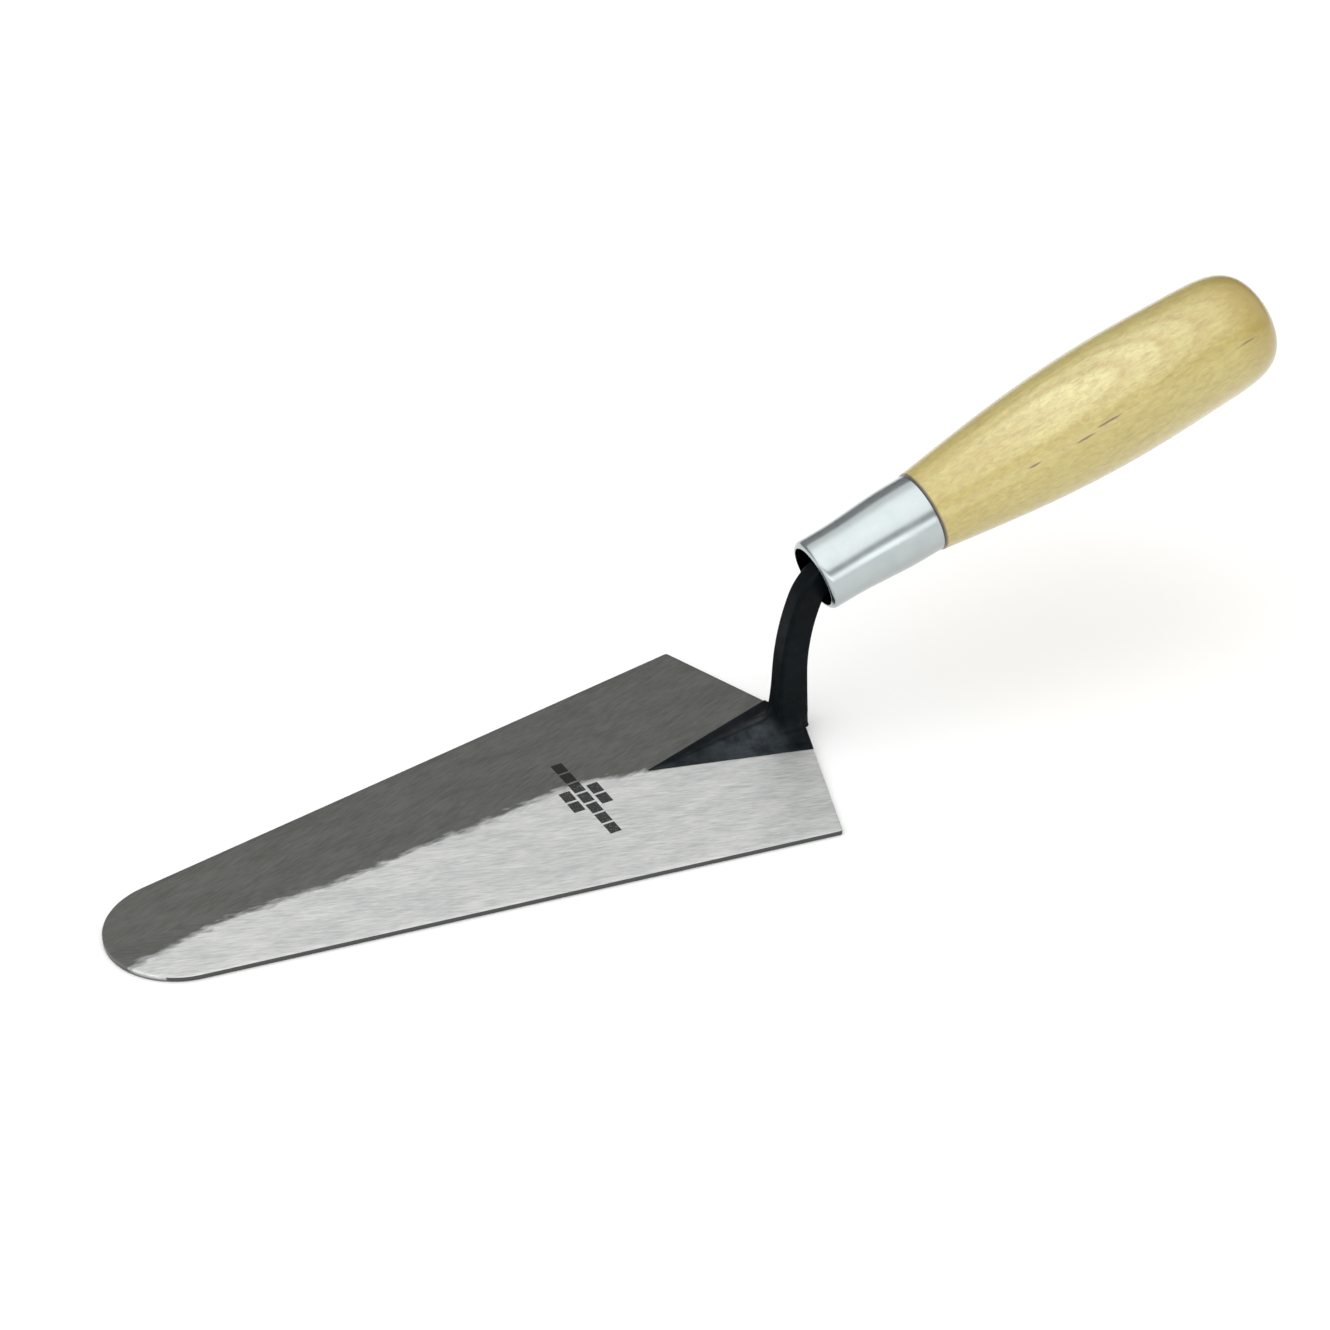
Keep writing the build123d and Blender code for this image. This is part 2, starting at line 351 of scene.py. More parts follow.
def bumped(tree, height, strength, distance, under=None):
    """The normal under a bump, over another bump's normal where one is given."""
    inputs = {"Height": height, "Strength": strength, "Distance": distance}
    if under is not None:
        inputs["Normal"] = under
    return link_node(tree, "ShaderNodeBump", inputs).outputs[0]


# The blade's mark is plain brickwork: one long course across the blade between two short ones.
mark_x = -56.5 * MM
mark_middle = -1.93 * MM    # along Y
mark_courses = [            # place along X from the mark, half length along Y, shift in bricks
    (0.0 * MM, 15.5 * MM, 0.0), (3.7 * MM, 4.25 * MM, 0.5), (-3.6 * MM, 4.25 * MM, 0.5),
]
mark_half_height = 1.45 * MM
brick_pitch = 4.5 * MM
brick_joint = 0.14          # share of the pitch
brick_start = 10            # bricks, so that the count stays above zero across the blade


def mark_mask(tree):
    """1 on the bricks of the mark, a little worn by noise, and 0 elsewhere: a course is where both
    distances from its middle are small enough, less the first part of each pitch along it."""
    place = object_place(tree)
    axes = link_node(tree, "ShaderNodeSeparateXYZ", {0: place})
    off_y = maths(tree, "ABSOLUTE", maths(tree, "SUBTRACT", axes.outputs["Y"], mark_middle))
    total = None
    for along_x, half_length, shift in mark_courses:
        off_x = maths(tree, "ABSOLUTE", maths(tree, "SUBTRACT", axes.outputs["X"], mark_x + along_x))
        shifted = maths(tree, "ADD", axes.outputs["Y"], (brick_start + shift) * brick_pitch)
        cell = maths(tree, "FRACT", maths(tree, "DIVIDE", shifted, brick_pitch))
        course = product(
            tree, maths(tree, "LESS_THAN", off_x, mark_half_height),
            maths(tree, "LESS_THAN", off_y, half_length), maths(tree, "GREATER_THAN", cell, brick_joint),
        )
        total = course if total is None else maths(tree, "MAXIMUM", total, course)
    wear = noise(tree, place, (3200, 3200, 3200), 3)
    return product(tree, total, ranged(tree, wear, 0.3, 0.45, 0.7, 0.96))


scratches = [               # degrees off X, outwards to the heel, and waves per metre across and along
    (13, 1900, 210), (24, 1500, 170), (18, 4200, 480),
]
lines_share = 0.75          # of the tone, which the clouds share
border_wander = 5.0         # millimetres by which the facets' border is ragged
border_blend = 1.1          # and half the width over which their tones meet
# Lit and shaded copies of the steel: the far facet's tones are painted shade for the dim room it
# reflects, and the near facet's a painted reflection of the bright dome.
lit_steel_tones = [(0.42, (0.54, 0.553, 0.550)), (0.58, (0.76, 0.765, 0.747))]
shaded_steel_tones = [(0.42, (0.106, 0.109, 0.099)), (0.58, (0.156, 0.159, 0.147))]
# Painted shade on the cut sides, for the dark reflection they show.
cut_side_shade = (0.07, 0.072, 0.07)
mark_black = (0.012, 0.012, 0.013)


def ground_steel():
    """Steel off the grinding belt: short fine lines at slight angles over faint clouding, mirrored
    on the two facets. The facets are lit and shaded copies of it: the far facet is painted darker as
    painted shade, for the dim room it reflects, up to a ragged line along the ridge, and the near one
    paler as a painted reflection of the dome. The cut sides are painted dark as painted shade."""
    material, tree, shader = new_material("ground_steel")
    place = object_place(tree)
    mirrored = link_node(tree, "ShaderNodeVectorMath", {0: place}, operation="ABSOLUTE").outputs["Vector"]
    lines = 0.0
    for degrees_off, across, along in scratches:
        swung = link_node(tree, "ShaderNodeMapping", {
            "Vector": mirrored, "Rotation": (0, 0, radians(degrees_off)),
        }).outputs[0]
        lines = maths(tree, "ADD", noise(tree, swung, (along, across, across), 4, distortion=0.3), lines)
    lines = maths(tree, "DIVIDE", lines, len(scratches))
    clouds = noise(tree, place, (90, 230, 230), 6, roughness=0.62)
    ragged = noise(tree, place, (260, 800, 800), 3, turn=radians(24))
    ragged = product(tree, off_middle(tree, ragged), border_wander)
    side = maths(tree, "ADD", surface_value(tree, "from_ridge"), ragged)
    # The painted shade of the far facet: 1 beyond the ragged border along the ridge.
    far = ranged(tree, side, -border_blend, border_blend, 0.0, 1.0)
    tone = maths(tree, "ADD", product(tree, lines, lines_share), product(tree, clouds, 1 - lines_share))
    face = mixed(tree, far, toned(tree, tone, lit_steel_tones), toned(tree, tone, shaded_steel_tones))
    face = mixed(tree, surface_value(tree, "bare_cut"), face, cut_side_shade)
    mark = mark_mask(tree)
    tree.links.new(mixed(tree, mark, face, mark_black), shader.inputs["Base Color"])
    shader.inputs["Metallic"].default_value = 0.6
    rough = maths(tree, "ADD", ranged(tree, tone, 0.35, 0.65, 0.38, 0.44), product(tree, mark, 0.3))
    tree.links.new(rough, shader.inputs["Roughness"])
    fine = bumped(tree, lines, 0.35, 0.008 * MM)
    tree.links.new(bumped(tree, clouds, 0.3, 0.05 * MM, fine), shader.inputs["Normal"])
    return material


blade_grid = blade_points()
from_ridge = (blade_grid[..., 1] - ridge_y(blade_grid[..., 0])) / MM
height = blade_grid[..., 2]
# 1 on the cut sides, which the material paints dark as painted shade.
bare_cut = ((height < edge_thickness - 0.5 * edge_bevel) & (height > 0)) * 1.0
blade = grid_mesh(
    "blade_steel_plate", blade_grid, ground_steel(), from_ridge=from_ridge, bare_cut=bare_cut,
)
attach(blade, "root")
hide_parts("blade")

# --- Tang ---------------------------------------------------------------------------------------
# One black forging: a thin triangular foot lying on the blade, a raised wedge on it that climbs to
# the neck, and the neck of flat bar, which leans back and turns into the ferrule.
foot_reach = 38.9 * MM
foot_half_width = 11.8 * MM
rim_height = 0.35 * MM
rim_bevel = 0.12 * MM
wedge_reach = 34.8 * MM
wedge_half_width = 7.7 * MM
wedge_step = 0.6 * MM
wedge_inset = 1.0 * MM      # between its back and the foot's
wedge_height = 6.0 * MM
wedge_ridge = 0.9 * MM      # half the width over which its two faces blend
wedge_side = 0.1 * MM       # by which its side leans in
foot_shrink = 0.997         # of foot and wedge, which keeps them on the blade
foot_sunk = 0.03 * MM       # into the blade
foot_margin = 0.2 * MM      # from the neck's section out to the foot's rim, at least
wedge_margin = 0.05 * MM    # the same to the wedge's side
bar_depth = 6.9 * MM
bar_width = 5.3 * MM
bar_rounding = 0.9 * MM
root_lead = 1.9 * MM        # how much deeper in front the neck is at the wedge's top
root_side = 0.25 * MM       # and how much wider on each side
root_fade = 7.9 * MM        # height over which that fades to about a third
fillet_out = 3.0 * MM       # the hollow between wedge and neck, outwards and upwards
fillet_up = 3.6 * MM
fillet_least = 0.35         # share of that height where the wedge is too narrow for it
wedge_crowding = 0.9        # of the mesh's rows on the wedge towards the neck
neck_rise = 16.3 * MM
neck_bend_radius = 51.5 * MM
neck_lean = radians(22.0)
neck_straight = 0.2 * MM
elbow_radius = 12.4 * MM
handle_angle = radians(16.06)
mouth_behind = 0.2 * MM     # the elbow's corner, to the ferrule's mouth along the handle's axis
tenon_setback = 7.5 * MM    # from the mouth to the wood's tenon
tang_end = 0.5 * MM         # into the tenon
lean_end = np.array([
    neck_bend_radius * (1 - np.cos(neck_lean)), neck_rise + neck_bend_radius * np.sin(neck_lean),
])
lean_way = np.array([np.sin(neck_lean), np.cos(neck_lean)])
elbow_lean = pi / 2 - handle_angle      # where the elbow ends, along the handle
elbow_tangent = elbow_radius * tan((elbow_lean - neck_lean) / 2)
elbow_corner = lean_end + lean_way * (neck_straight + elbow_tangent)
axis_way = np.array([np.cos(handle_angle), np.sin(handle_angle)])
mouth = elbow_corner + axis_way * mouth_behind


def ray_to_polygon(angle, corners):
    """How far a ray from the origin goes at each angle before it leaves a convex polygon: for each
    side, the side's distance from the origin divided by the cosine between ray and its normal."""
    reach = np.full(angle.shape, np.inf)
    for start, end in zip(corners, np.roll(corners, -1, axis=0)):
        normal = np.array([end[1] - start[1], start[0] - end[0]])
        normal /= np.linalg.norm(normal)
        towards = np.cos(angle) * normal[0] + np.sin(angle) * normal[1]
        with np.errstate(divide="ignore", invalid="ignore"):
            far = np.where(towards > 1e-9, normal @ start / towards, np.inf)
        reach = np.minimum(reach, far)
    return reach


def foot_contour(angle, reach, half, inset=0.0):
    """A triangle with its tip in front and a pointed back along the heel, which the inset moves
    forward, as distance by angle."""
    back_x = heel_x - heel_point * half / half_width
    corners = np.array([
        (-reach, 0), (back_x - inset, -half), (heel_x - inset, 0), (back_x - inset, half),
    ]) * foot_shrink
    return ray_to_polygon(angle, corners)


def bar_contour(angle, front, rear, side, rounding):
    """A rounded rectangle by angle: the ray meets the box, and near a corner the corner's arc."""
    x, y = np.cos(angle), np.sin(angle)
    depth = np.where(x > 0, rear, front)
    reach = 1 / np.maximum(np.abs(x) / depth, np.abs(y) / side)
    centre_x, centre_y = np.sign(x) * (depth - rounding), np.sign(y) * (side - rounding)
    middle = x * centre_x + y * centre_y
    inside = middle**2 - centre_x**2 - centre_y**2 + rounding**2
    on_arc = middle + np.sqrt(np.maximum(inside, 0))
    corner = (np.abs(reach * x) > np.abs(centre_x)) & (np.abs(reach * y) > np.abs(centre_y))
    return np.where(corner & (inside > 0), on_arc, reach)


def wedge_top(x, y):
    """The wedge's two faces: a plane on each side through its tip, its back corner and the foot of
    the neck, with a rounded absolute value of Y between them, and never lower than the rim."""
    tip_top = blade_top(-wedge_reach, 0) + rim_height
    back_x = heel_x - heel_point * wedge_half_width / half_width
    back_top = blade_top(back_x, wedge_half_width) + rim_height + wedge_step
    rise_x = (wedge_height - tip_top) / (wedge_reach - bar_depth / 2)
    rise_y = (back_top - tip_top - rise_x * (back_x + wedge_reach)) / wedge_half_width
    plane = tip_top + rise_x * (x + wedge_reach) + rise_y * np.sqrt(y**2 + wedge_ridge**2)
    return np.maximum(plane, blade_top(x, y) + rim_height)


def tang_angles():
    """Even angles, with more of them where the foot's tip and back corners are."""
    even = np.linspace(-pi, pi, 220, endpoint=False)
    near_tip = pi + np.radians([-1.2, -0.7, -0.35, -0.15, 0.15, 0.35, 0.7, 1.2])
    corner = np.arctan2(foot_half_width, heel_x - heel_point * foot_half_width / half_width)
    near_corner = corner + np.radians([-0.4, 0.0, 0.4])
    angle = np.concatenate([even, near_tip, near_corner, -near_corner])
    return np.unique(np.round(np.mod(angle + pi, 2 * pi) - pi, 9))


def bend_places(start, radius, first_lean, leans):
    """Places on an arc that leaves its start leaning back by the first angle and leans on. Its
    centre is a radius off at right angles to that lean, and so is each place from the centre."""
    centre = start + radius * np.array([np.cos(first_lean), -np.sin(first_lean)])
    return centre + radius * np.stack([-np.cos(leans), np.sin(leans)], axis=-1)


def neck_path():
    """Places along the neck's line above its straight foot and the lean at each: a long bend, a
    short straight, the elbow, and on along the handle's axis to where the tenon hides it."""
    bend = np.linspace(0, neck_lean, 26)[1:]
    turn = np.linspace(neck_lean, elbow_lean, 22)[1:]
    hidden = np.array([tenon_setback, tenon_setback + tang_end])
    places = np.concatenate([
        bend_places(np.array([0, neck_rise]), neck_bend_radius, 0.0, bend),
        bend_places(lean_end + lean_way * neck_straight, elbow_radius, neck_lean, turn),
        mouth + axis_way * hidden[:, None],
    ])
    return places, np.concatenate([bend, turn, np.full(2, elbow_lean)])


def tang_points():
    """Rings by angle round the neck's line. They go out under the foot, up its rim, over the wedge,
    up a quarter-ellipse hollow onto the bar, and on along the neck's path into the ferrule."""
    angle = tang_angles()
    ray = np.stack([np.cos(angle), np.sin(angle)], axis=-1)
    stub = bar_contour(angle, bar_depth / 2, bar_depth / 2, bar_width / 2 + root_side, bar_rounding)
    foot = np.maximum(foot_contour(angle, foot_reach, foot_half_width), stub + foot_margin)
    wedge = foot_contour(angle, wedge_reach, wedge_half_width, wedge_inset)
    wedge = np.maximum(np.minimum(wedge, foot - rim_bevel), stub + wedge_margin)
    rings = []

    def ring(reach, height):
        """A ring by its distance and height at each angle."""
        rings.append(np.column_stack([ray * reach[:, None], height]))

    def over(surface, reach, lift=0.0):
        """A ring that lies at a lift above a surface."""
        ring(reach, surface(*(ray * reach[:, None]).T) + lift)

    def bar(height):
        """The neck's section at a height, wider where it grows out of the wedge."""
        fade = np.exp(-np.maximum(height - wedge_height, 0) / root_fade)
        front, side = bar_depth / 2 + root_lead * fade, bar_width / 2 + root_side * fade
        return bar_contour(angle, front, bar_depth / 2, side, bar_rounding)

    for share in (0.0, 0.5, 1.0):
        over(blade_top, foot * share, -foot_sunk)
    for down, inset in ((1.0, 0.0), (0.3, 0.3), (0.0, 1.0)):
        over(blade_top, foot - inset * rim_bevel, rim_height - down * rim_bevel)
    over(blade_top, (foot - rim_bevel + wedge) / 2, rim_height)
    over(blade_top, wedge, rim_height)

    low_bar = bar(wedge_height)
    edge = wedge - wedge_side
    hollow_start = np.minimum(low_bar + fillet_out, wedge - wedge_margin)
    for share in np.linspace(0, 1, 26) ** wedge_crowding:
        over(wedge_top, edge + (hollow_start - edge) * share)
    start_height = rings[-1][:, 2]
    rise = fillet_up * np.clip((hollow_start - low_bar) / fillet_out, fillet_least, 1)
    for climb in np.linspace(0, pi / 2, 12)[1:]:
        height = start_height + rise * (1 - np.cos(climb))
        ring(bar(height) + (hollow_start - low_bar) * (1 - np.sin(climb)), height)
    hollow_top = rings[-1][:, 2]
    for share in np.linspace(0, 1, 10)[1:]:
        height = hollow_top * (1 - share) + neck_rise * share
        ring(bar(height), height)

    for (x, z), lean in zip(*neck_path()):
        reach = bar(np.full(angle.shape, z))
        fore = reach * np.cos(angle)
        rings.append(np.column_stack([
            x + fore * np.cos(lean), reach * np.sin(angle), z - fore * np.sin(lean),
        ]))
    rings.append(np.broadcast_to(rings[-1].mean(axis=0), rings[-1].shape))
    return np.array(rings)


black_tones = [(0.3, (0.0012, 0.0022, 0.0030)), (0.7, (0.0045, 0.0070, 0.0088))]
# A painted sheen: the paler tone on the low near face of the wedge, and where it fades out.
near_face_sheen_tone = (0.036, 0.044, 0.049)
sheen_fades = [            # axis, millimetres along it from and to, and the share at each
    ("Z", 4.5, 6.5, 1.0, 0.0), ("Y", -0.6, 0.4, 1.0, 0.12), ("X", -26, -14, 0.45, 1.0),
    ("X", -9, -4, 1.0, 0.15),
]


def black_forging():
    """Satin black over forged steel: a soft unevenness, fine speckle, and a painted sheen: the near
    face of the wedge painted paler where it catches the light."""
    material, tree, shader = new_material("black_forging")
    place = object_place(tree)
    axes = link_node(tree, "ShaderNodeSeparateXYZ", {0: place})
    uneven = noise(tree, place, (260, 260, 260), 6, roughness=0.62)
    speckle = noise(tree, place, (2400, 2400, 2400), 2)
    # The painted sheen, mottled and faded out above, across the ridge and towards both ends.
    sheen = ranged(tree, uneven, 0.35, 0.6, 0.35, 1.0)
    for axis, start, end, at_start, at_end in sheen_fades:
        fade = ranged(tree, axes.outputs[axis], start * MM, end * MM, at_start, at_end)
        sheen = product(tree, sheen, fade)
    colour = mixed(tree, sheen, toned(tree, uneven, black_tones), near_face_sheen_tone)
    tree.links.new(colour, shader.inputs["Base Color"])
    tree.links.new(ranged(tree, uneven, 0.3, 0.7, 0.5, 0.36), shader.inputs["Roughness"])
    shader.inputs["Specular IOR Level"].default_value = 0.06
    fine = bumped(tree, speckle, 0.25, 0.02 * MM)
    tree.links.new(bumped(tree, uneven, 0.5, 0.25 * MM, fine), shader.inputs["Normal"])
    return material


tang = grid_mesh("tang_forging", tang_points(), black_forging())
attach(tang, "root")
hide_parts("tang")

# --- Ferrule ------------------------------------------------------------------------------------
# Drawn steel tube, bright zinc plated: a short straight nose with its lip rolled in, a cone, and a
# skirt pressed over the wood.
ferrule_length = 30.9 * MM
ferrule_wall = 0.9 * MM
mouth_radius = 7.55 * MM
lip_radius = 1.3 * MM
nose_radius = 8.96 * MM
nose_length = 9.5 * MM
skirt_radius = 9.91 * MM
skirt_length = 8.5 * MM
blend_length = 2.2 * MM     # over which nose, cone and skirt run into each other
lip_rounding = 0.15 * MM    # of the rolled edge at the mouth
end_rounding = 0.25 * MM
turning_steps = 128


def turned(name, profile, material, **values):
    """A profile of (distance along the handle's axis from the mouth, radius) turned about it."""
    angle = np.linspace(0, 2 * pi, turning_steps, endpoint=False)
    along, radius = profile[:, 0, None], profile[:, 1, None]
    x = mouth[0] + axis_way[0] * along - axis_way[1] * radius * np.cos(angle)
    z = mouth[1] + axis_way[1] * along + axis_way[0] * radius * np.cos(angle)
    points = np.stack([x, radius * np.sin(angle) + 0 * x, z], axis=-1)
    spread = {key: row[:, None] + 0 * x for key, row in values.items()}
    return grid_mesh(name, points, material, **spread)


def softened(x, corner):
    """A ramp that starts at a corner, with the corner rounded: half the sum of the distance from
    the corner and that distance's rounded absolute value."""
    return (x - corner + np.sqrt((x - corner) ** 2 + blend_length**2)) / 2


def cone_radius(along):
    """The tube's radius outside: the nose's, plus the cone's slope times the difference of two
    softened ramps, which start at the end of the nose and at the skirt."""
    skirt_start = ferrule_length - skirt_length
    slope = (skirt_radius - nose_radius) / (skirt_start - nose_length)
    return nose_radius + slope * (softened(along, nose_length) - softened(along, skirt_start))


def ferrule_profile():
    """Round the tube's section: out over the lip, back along the outside, in over the end, and
    forward along the bore, and with it 1 where the section is inside the tube, which the material
    paints dark as painted shade, and 0 elsewhere."""
    along = np.linspace(lip_radius, ferrule_length - end_rounding, 44)
    side = cone_radius(along)
    lip_centre = (lip_radius, nose_radius - lip_radius)
    lip = arc(lip_centre, lip_radius, pi, pi / 2, 12)
    lip[:, 1] += np.linspace(0, side[0] - nose_radius, 12)
    end_centre = (ferrule_length - end_rounding, side[-1] - end_rounding)
    end = arc(end_centre, end_rounding, pi / 2, 0, 6)
    outside = np.concatenate([lip, np.column_stack([along, side])[1:-1], end])
    bore = np.column_stack([along, side - ferrule_wall])[::-1][:-1]
    bore = bore[bore[:, 0] > lip_radius]
    hollow = arc(lip_centre, lip_radius - ferrule_wall, pi / 2, pi, 8)
    lip_edge = [
        (ferrule_wall, mouth_radius + lip_rounding), (0.75 * ferrule_wall, mouth_radius),
        (0.25 * ferrule_wall, mouth_radius), (0.0, mouth_radius + lip_rounding),
    ]
    bore_end = [(ferrule_length, side[-1] - ferrule_wall)]
    closed = np.concatenate([outside, bore_end, bore, hollow, lip_edge])
    row = np.arange(len(closed) + 1)
    inside = ((row >= len(outside)) & (row < len(closed) - 1)) * 1.0
    return np.concatenate([closed, closed[:1]]), inside


def axis_place(tree):
    """Object coordinates turned and moved, so that X runs along the handle's axis from the mouth."""
    return link_node(tree, "ShaderNodeMapping", {
        "Vector": object_place(tree), "Location": (mouth[0], 0, mouth[1]),
        "Rotation": (0, -handle_angle, 0),
    }, vector_type="TEXTURE").outputs[0]


zinc_tones = [(0.3, (0.44, 0.488, 0.494)), (0.7, (0.485, 0.527, 0.533))]
# Painted shade inside the tube.
bore_shade = (0.012, 0.013, 0.014)


def zinc_plate():
    """Bright zinc: a cool, soft mirror with faint draw lines along it and a cloudy bloom, and painted
    shade inside the tube."""
    material, tree, shader = new_material("zinc_plate")
    place = axis_place(tree)
    drawn = noise(tree, place, (70, 1500, 1500), 3)
    bloom = noise(tree, place, (260, 260, 260), 4)
    shaded = mixed(tree, surface_value(tree, "inside"), toned(tree, bloom, zinc_tones), bore_shade)
    tree.links.new(shaded, shader.inputs["Base Color"])
    shader.inputs["Metallic"].default_value = 1.0
    tree.links.new(ranged(tree, bloom, 0.3, 0.7, 0.17, 0.25), shader.inputs["Roughness"])
    tree.links.new(bumped(tree, drawn, 0.2, 0.01 * MM), shader.inputs["Normal"])
    return material


ferrule_section, bore_shade_rows = ferrule_profile()
ferrule = turned("ferrule_tube", ferrule_section, zinc_plate(), inside=bore_shade_rows)
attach(ferrule, "root")
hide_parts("ferrule")

# --- Handle -------------------------------------------------------------------------------------
# One turned piece of pale hardwood under clear gloss lacquer. Its tenon fills the ferrule behind
# the mouth. The growth rings are nearly flat and lean a little, so that they close in a loop
# towards the butt.
handle_length = 99.0 * MM
shoulder_radius = 10.26 * MM
shoulder_chamfer = 0.35 * MM
shoulder_slope = 0.13
throat = (25.7 * MM, 13.5 * MM)         # distance behind the ferrule, and radius there
belly = (57.7 * MM, 15.4 * MM)
side_end = (80.7 * MM, 14.9 * MM)
tenon_clearance = 0.1 * MM
butt_slope = -0.03
butt_run = 13.8 * MM        # from the side's end to the butt curve's second point
end_fullness = 13.5 * MM    # radius of its third point


def handle_profile():
    """From the tenon's face along the tenon, out to the shoulder, along the side, and round the
    butt on a cubic Bezier curve to the axis."""
    tenon_x = np.linspace(tenon_setback, ferrule_length, 16)
    tenon = cone_radius(tenon_x) - ferrule_wall - tenon_clearance
    x = np.linspace(shoulder_chamfer, side_end[0], 70)
    places = np.array([shoulder_chamfer, throat[0], belly[0], side_end[0]])
    values = np.array([shoulder_radius, throat[1], belly[1], side_end[1]])
    side = cubic_through(places, values, shoulder_slope, butt_slope, x)
    t = np.linspace(0, 1, 34)[1:, None]
    knots = np.array([
        side_end, (side_end[0] + butt_run, side_end[1] + butt_slope * butt_run),
        (handle_length, end_fullness), (handle_length, 0),
    ])
    weights = [(1 - t) ** 3, 3 * t * (1 - t) ** 2, 3 * t**2 * (1 - t), t**3]
    butt = sum(weight * knot for weight, knot in zip(weights, knots))
    chamfer = [
        (0, shoulder_radius - shoulder_chamfer),
        (0.3 * shoulder_chamfer, shoulder_radius - 0.3 * shoulder_chamfer),
    ]
    wood = np.concatenate([chamfer, np.column_stack([x, side]), butt]) + [ferrule_length, 0]
    face = [(tenon_setback, 0), (tenon_setback, 0.5 * tenon[0])]
    return np.concatenate([face, np.column_stack([tenon_x, tenon]), wood])


ring_lean = -0.10           # how much the rings' planes tilt along the handle
ring_facing = radians(28)   # the side that the rings face, turned from the top to the near side
ring_spacing = 1.35 * MM
ring_wander = 2.2 * MM
ring_start = 40.0           # rings, so that the count stays above zero in the wood
ring_shades = [(0.0, 0.9), (0.22, 0.0), (0.55, 0.05), (0.92, 0.8), (1.0, 0.9)]  # darkness over a ring
highlight_turn = radians(26)  # the side of the painted highlight, a paler band along the upper near side
highlight_wander = 0.5        # radians by which its border is uneven
streaks = [                 # millimetres from the mouth, degrees from the top to the near side, length
    (77.4, 65.0, 8.5), (70.4, 68.0, 6.5), (56.6, 66.8, 4.0), (118.1, 68.4, 7.0),
]
streak_half_turn = 0.024    # radians
streak_fraying = 1.6        # of half a streak's size
stain_reach = 15 * MM       # from the butt, where the end grain's darker stain starts
stain_full = 1.5 * MM       # and where it is full
stain_wander = 6 * MM       # by which its border is uneven
joint_shade_reach = (0.25 * MM, 0.8 * MM)      # behind the ferrule, where the dark joint line fades out; before it, the tenon inside the ferrule is painted dark as painted shade
wood_tones = [(0.3, (0.43, 0.350, 0.090)), (0.7, (0.48, 0.405, 0.125))]
# A painted highlight: the paler tone of a band along the upper near side, where the gloss falls.
painted_highlight_tone = (0.625, 0.560, 0.255)
figure_tone = (0.50, 0.335, 0.095)
ring_tone = (0.42, 0.300, 0.080)
fleck_tone = (0.36, 0.23, 0.06)
streak_tone = (0.16, 0.10, 0.035)
stain_tone = (0.33, 0.225, 0.030)
# Painted shade on the tenon inside the ferrule, and the dark joint line just behind it.
joint_and_tenon_shade = (0.04, 0.026, 0.014)


def streak_mask(tree, along_axis, turn_round, streak, frayed):
    """How much of a streak shows: the root of the sum of the squares of both distances from its
    middle, each divided by half the streak's size, plus fraying, fades out about one."""
    along, turn, length = streak
    off_x = maths(tree, "DIVIDE", maths(tree, "SUBTRACT", along_axis, along * MM), length / 2 * MM)
    off_turn = maths(tree, "SUBTRACT", turn_round, radians(turn))
    off_turn = maths(tree, "DIVIDE", off_turn, streak_half_turn)
    squares = maths(tree, "ADD", product(tree, off_x, off_x), product(tree, off_turn, off_turn))
    return ranged(tree, maths(tree, "ADD", maths(tree, "SQRT", squares), frayed), 0.5, 1.1, 0.95, 0.0)


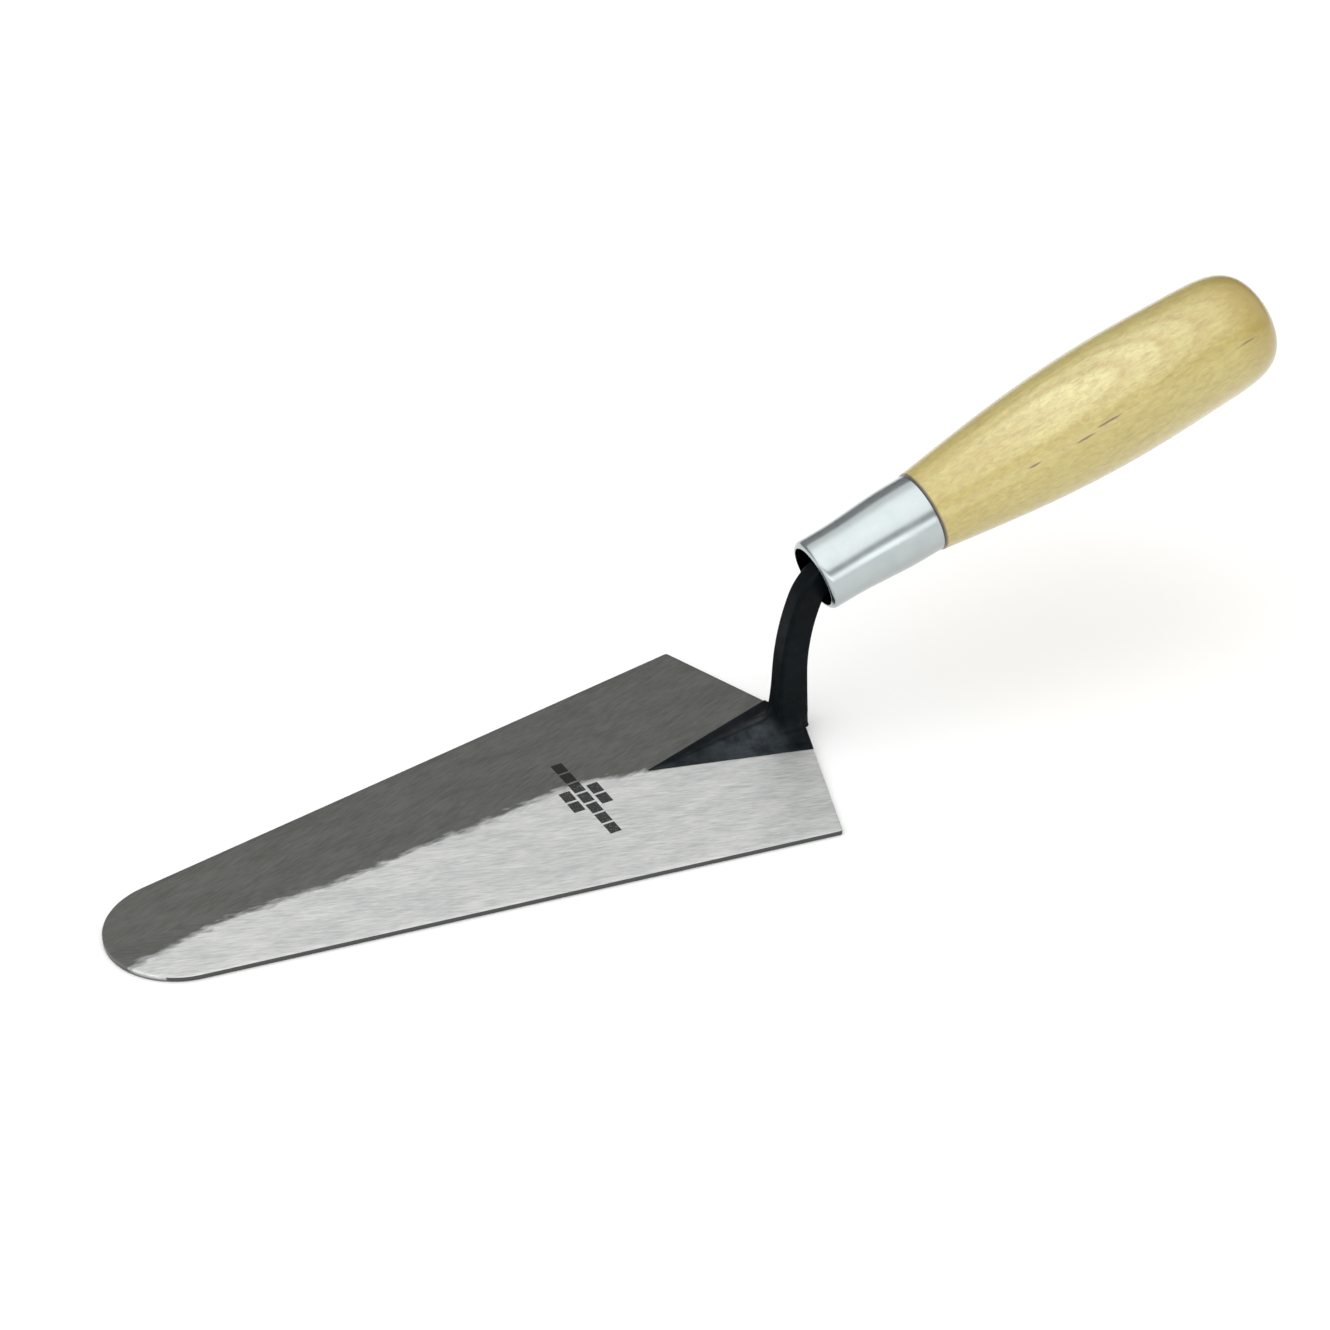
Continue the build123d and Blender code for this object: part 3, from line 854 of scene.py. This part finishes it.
def lacquered_wood():
    """Pale hardwood: ring lines from the distance to slightly leaning planes, fibre along the
    axis, cross figure, flecks, a few dark mineral streaks, and end grain that took more stain. A
    paler band along the upper near side is a painted highlight, and the tenon inside the ferrule is
    painted dark as painted shade, up to a dark joint line."""
    material, tree, shader = new_material("lacquered_wood")
    place = axis_place(tree)
    axes = link_node(tree, "ShaderNodeSeparateXYZ", {0: place})
    along_axis = axes.outputs["X"]
    turn_round = maths(tree, "ARCTAN2", product(tree, axes.outputs["Y"], -1.0), axes.outputs["Z"])
    fibre = noise(tree, place, (260, 2600, 2600), 5, roughness=0.65)
    figure = noise(tree, place, (420, 900, 900), 5, roughness=0.62, distortion=0.5)
    broad = noise(tree, place, (24, 90, 90), 3)

    # The painted highlight: a paler band about the turn above, uneven at its border, faded out towards
    # the ferrule and the butt.
    off_highlight = maths(tree, "ABSOLUTE", maths(tree, "SUBTRACT", turn_round, highlight_turn))
    off_highlight = maths(tree, "ADD", off_highlight, product(tree, off_middle(tree, broad), highlight_wander))
    painted_highlight = product(
        tree, ranged(tree, off_highlight, radians(4), radians(44), 1.0, 0.0),
        ranged(tree, along_axis, 34 * MM, 66 * MM, 0.0, 1.0),
        ranged(tree, along_axis, 90 * MM, 120 * MM, 1.0, 0.0),
    )
    tone = mixed(tree, painted_highlight, toned(tree, broad, wood_tones), painted_highlight_tone)
    tone = mixed(tree, ranged(tree, figure, 0.45, 0.7, 0.0, 0.35), tone, figure_tone)

    facing = (ring_lean, -np.sin(ring_facing), np.cos(ring_facing))
    depth = link_node(tree, "ShaderNodeVectorMath", {0: place, 1: facing}, operation="DOT_PRODUCT")
    wander = off_middle(tree, noise(tree, place, (20, 60, 60), 2, roughness=0.55))
    wander = product(tree, wander, ring_wander)
    rings = maths(tree, "DIVIDE", maths(tree, "ADD", depth.outputs["Value"], wander), ring_spacing)
    ring = maths(tree, "FRACT", maths(tree, "ADD", rings, ring_start))
    late = toned(tree, ring, [(position, (dark,) * 3) for position, dark in ring_shades])
    shown = ranged(tree, off_highlight, radians(10), radians(50), 0.62, 0.16)
    tone = mixed(tree, product(tree, late, shown), tone, ring_tone)

    grain = ranged(tree, fibre, 0.3, 0.7, 0.90, 1.08)
    mottle = ranged(tree, figure, 0.3, 0.7, 1.12, 0.88)
    tone = link_node(tree, "ShaderNodeVectorMath", {
        0: tone, "Scale": product(tree, grain, mottle),
    }, operation="SCALE").outputs["Vector"]
    flecks = noise(tree, place, (260, 1500, 1500), 2)
    tone = mixed(tree, ranged(tree, flecks, 0.64, 0.72, 0.0, 0.35), tone, fleck_tone)
    frayed = off_middle(tree, noise(tree, place, (300, 1600, 1600), 3, roughness=0.55))
    frayed = product(tree, frayed, streak_fraying)
    for streak in streaks:
        tone = mixed(tree, streak_mask(tree, along_axis, turn_round, streak, frayed), tone, streak_tone)

    butt_end = ferrule_length + handle_length
    uneven = maths(tree, "ADD", along_axis, product(tree, off_middle(tree, broad), stain_wander))
    stain = ranged(tree, uneven, butt_end - stain_reach, butt_end - stain_full, 0.0, 0.95)
    tone = mixed(tree, stain, tone, stain_tone)
    # Painted shade over the tenon inside the ferrule, fading out in a dark joint line behind it.
    joint_start, joint_end = joint_shade_reach
    joint = ranged(tree, along_axis, ferrule_length + joint_start, ferrule_length + joint_end, 0.95, 0.0)
    tone = mixed(tree, joint, tone, joint_and_tenon_shade)
    tree.links.new(tone, shader.inputs["Base Color"])
    shader.inputs["Roughness"].default_value = 0.42
    shader.inputs["Coat Weight"].default_value = 1.0
    shader.inputs["Coat IOR"].default_value = 1.6
    shader.inputs["Coat Roughness"].default_value = 0.2
    normal = bumped(tree, figure, 0.3, 0.12 * MM, bumped(tree, fibre, 0.22, 0.05 * MM))
    tree.links.new(normal, shader.inputs["Normal"])
    tree.links.new(normal, shader.inputs["Coat Normal"])
    return material


handle = turned("handle_wood", handle_profile(), lacquered_wood())
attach(handle, "root")
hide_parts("handle")
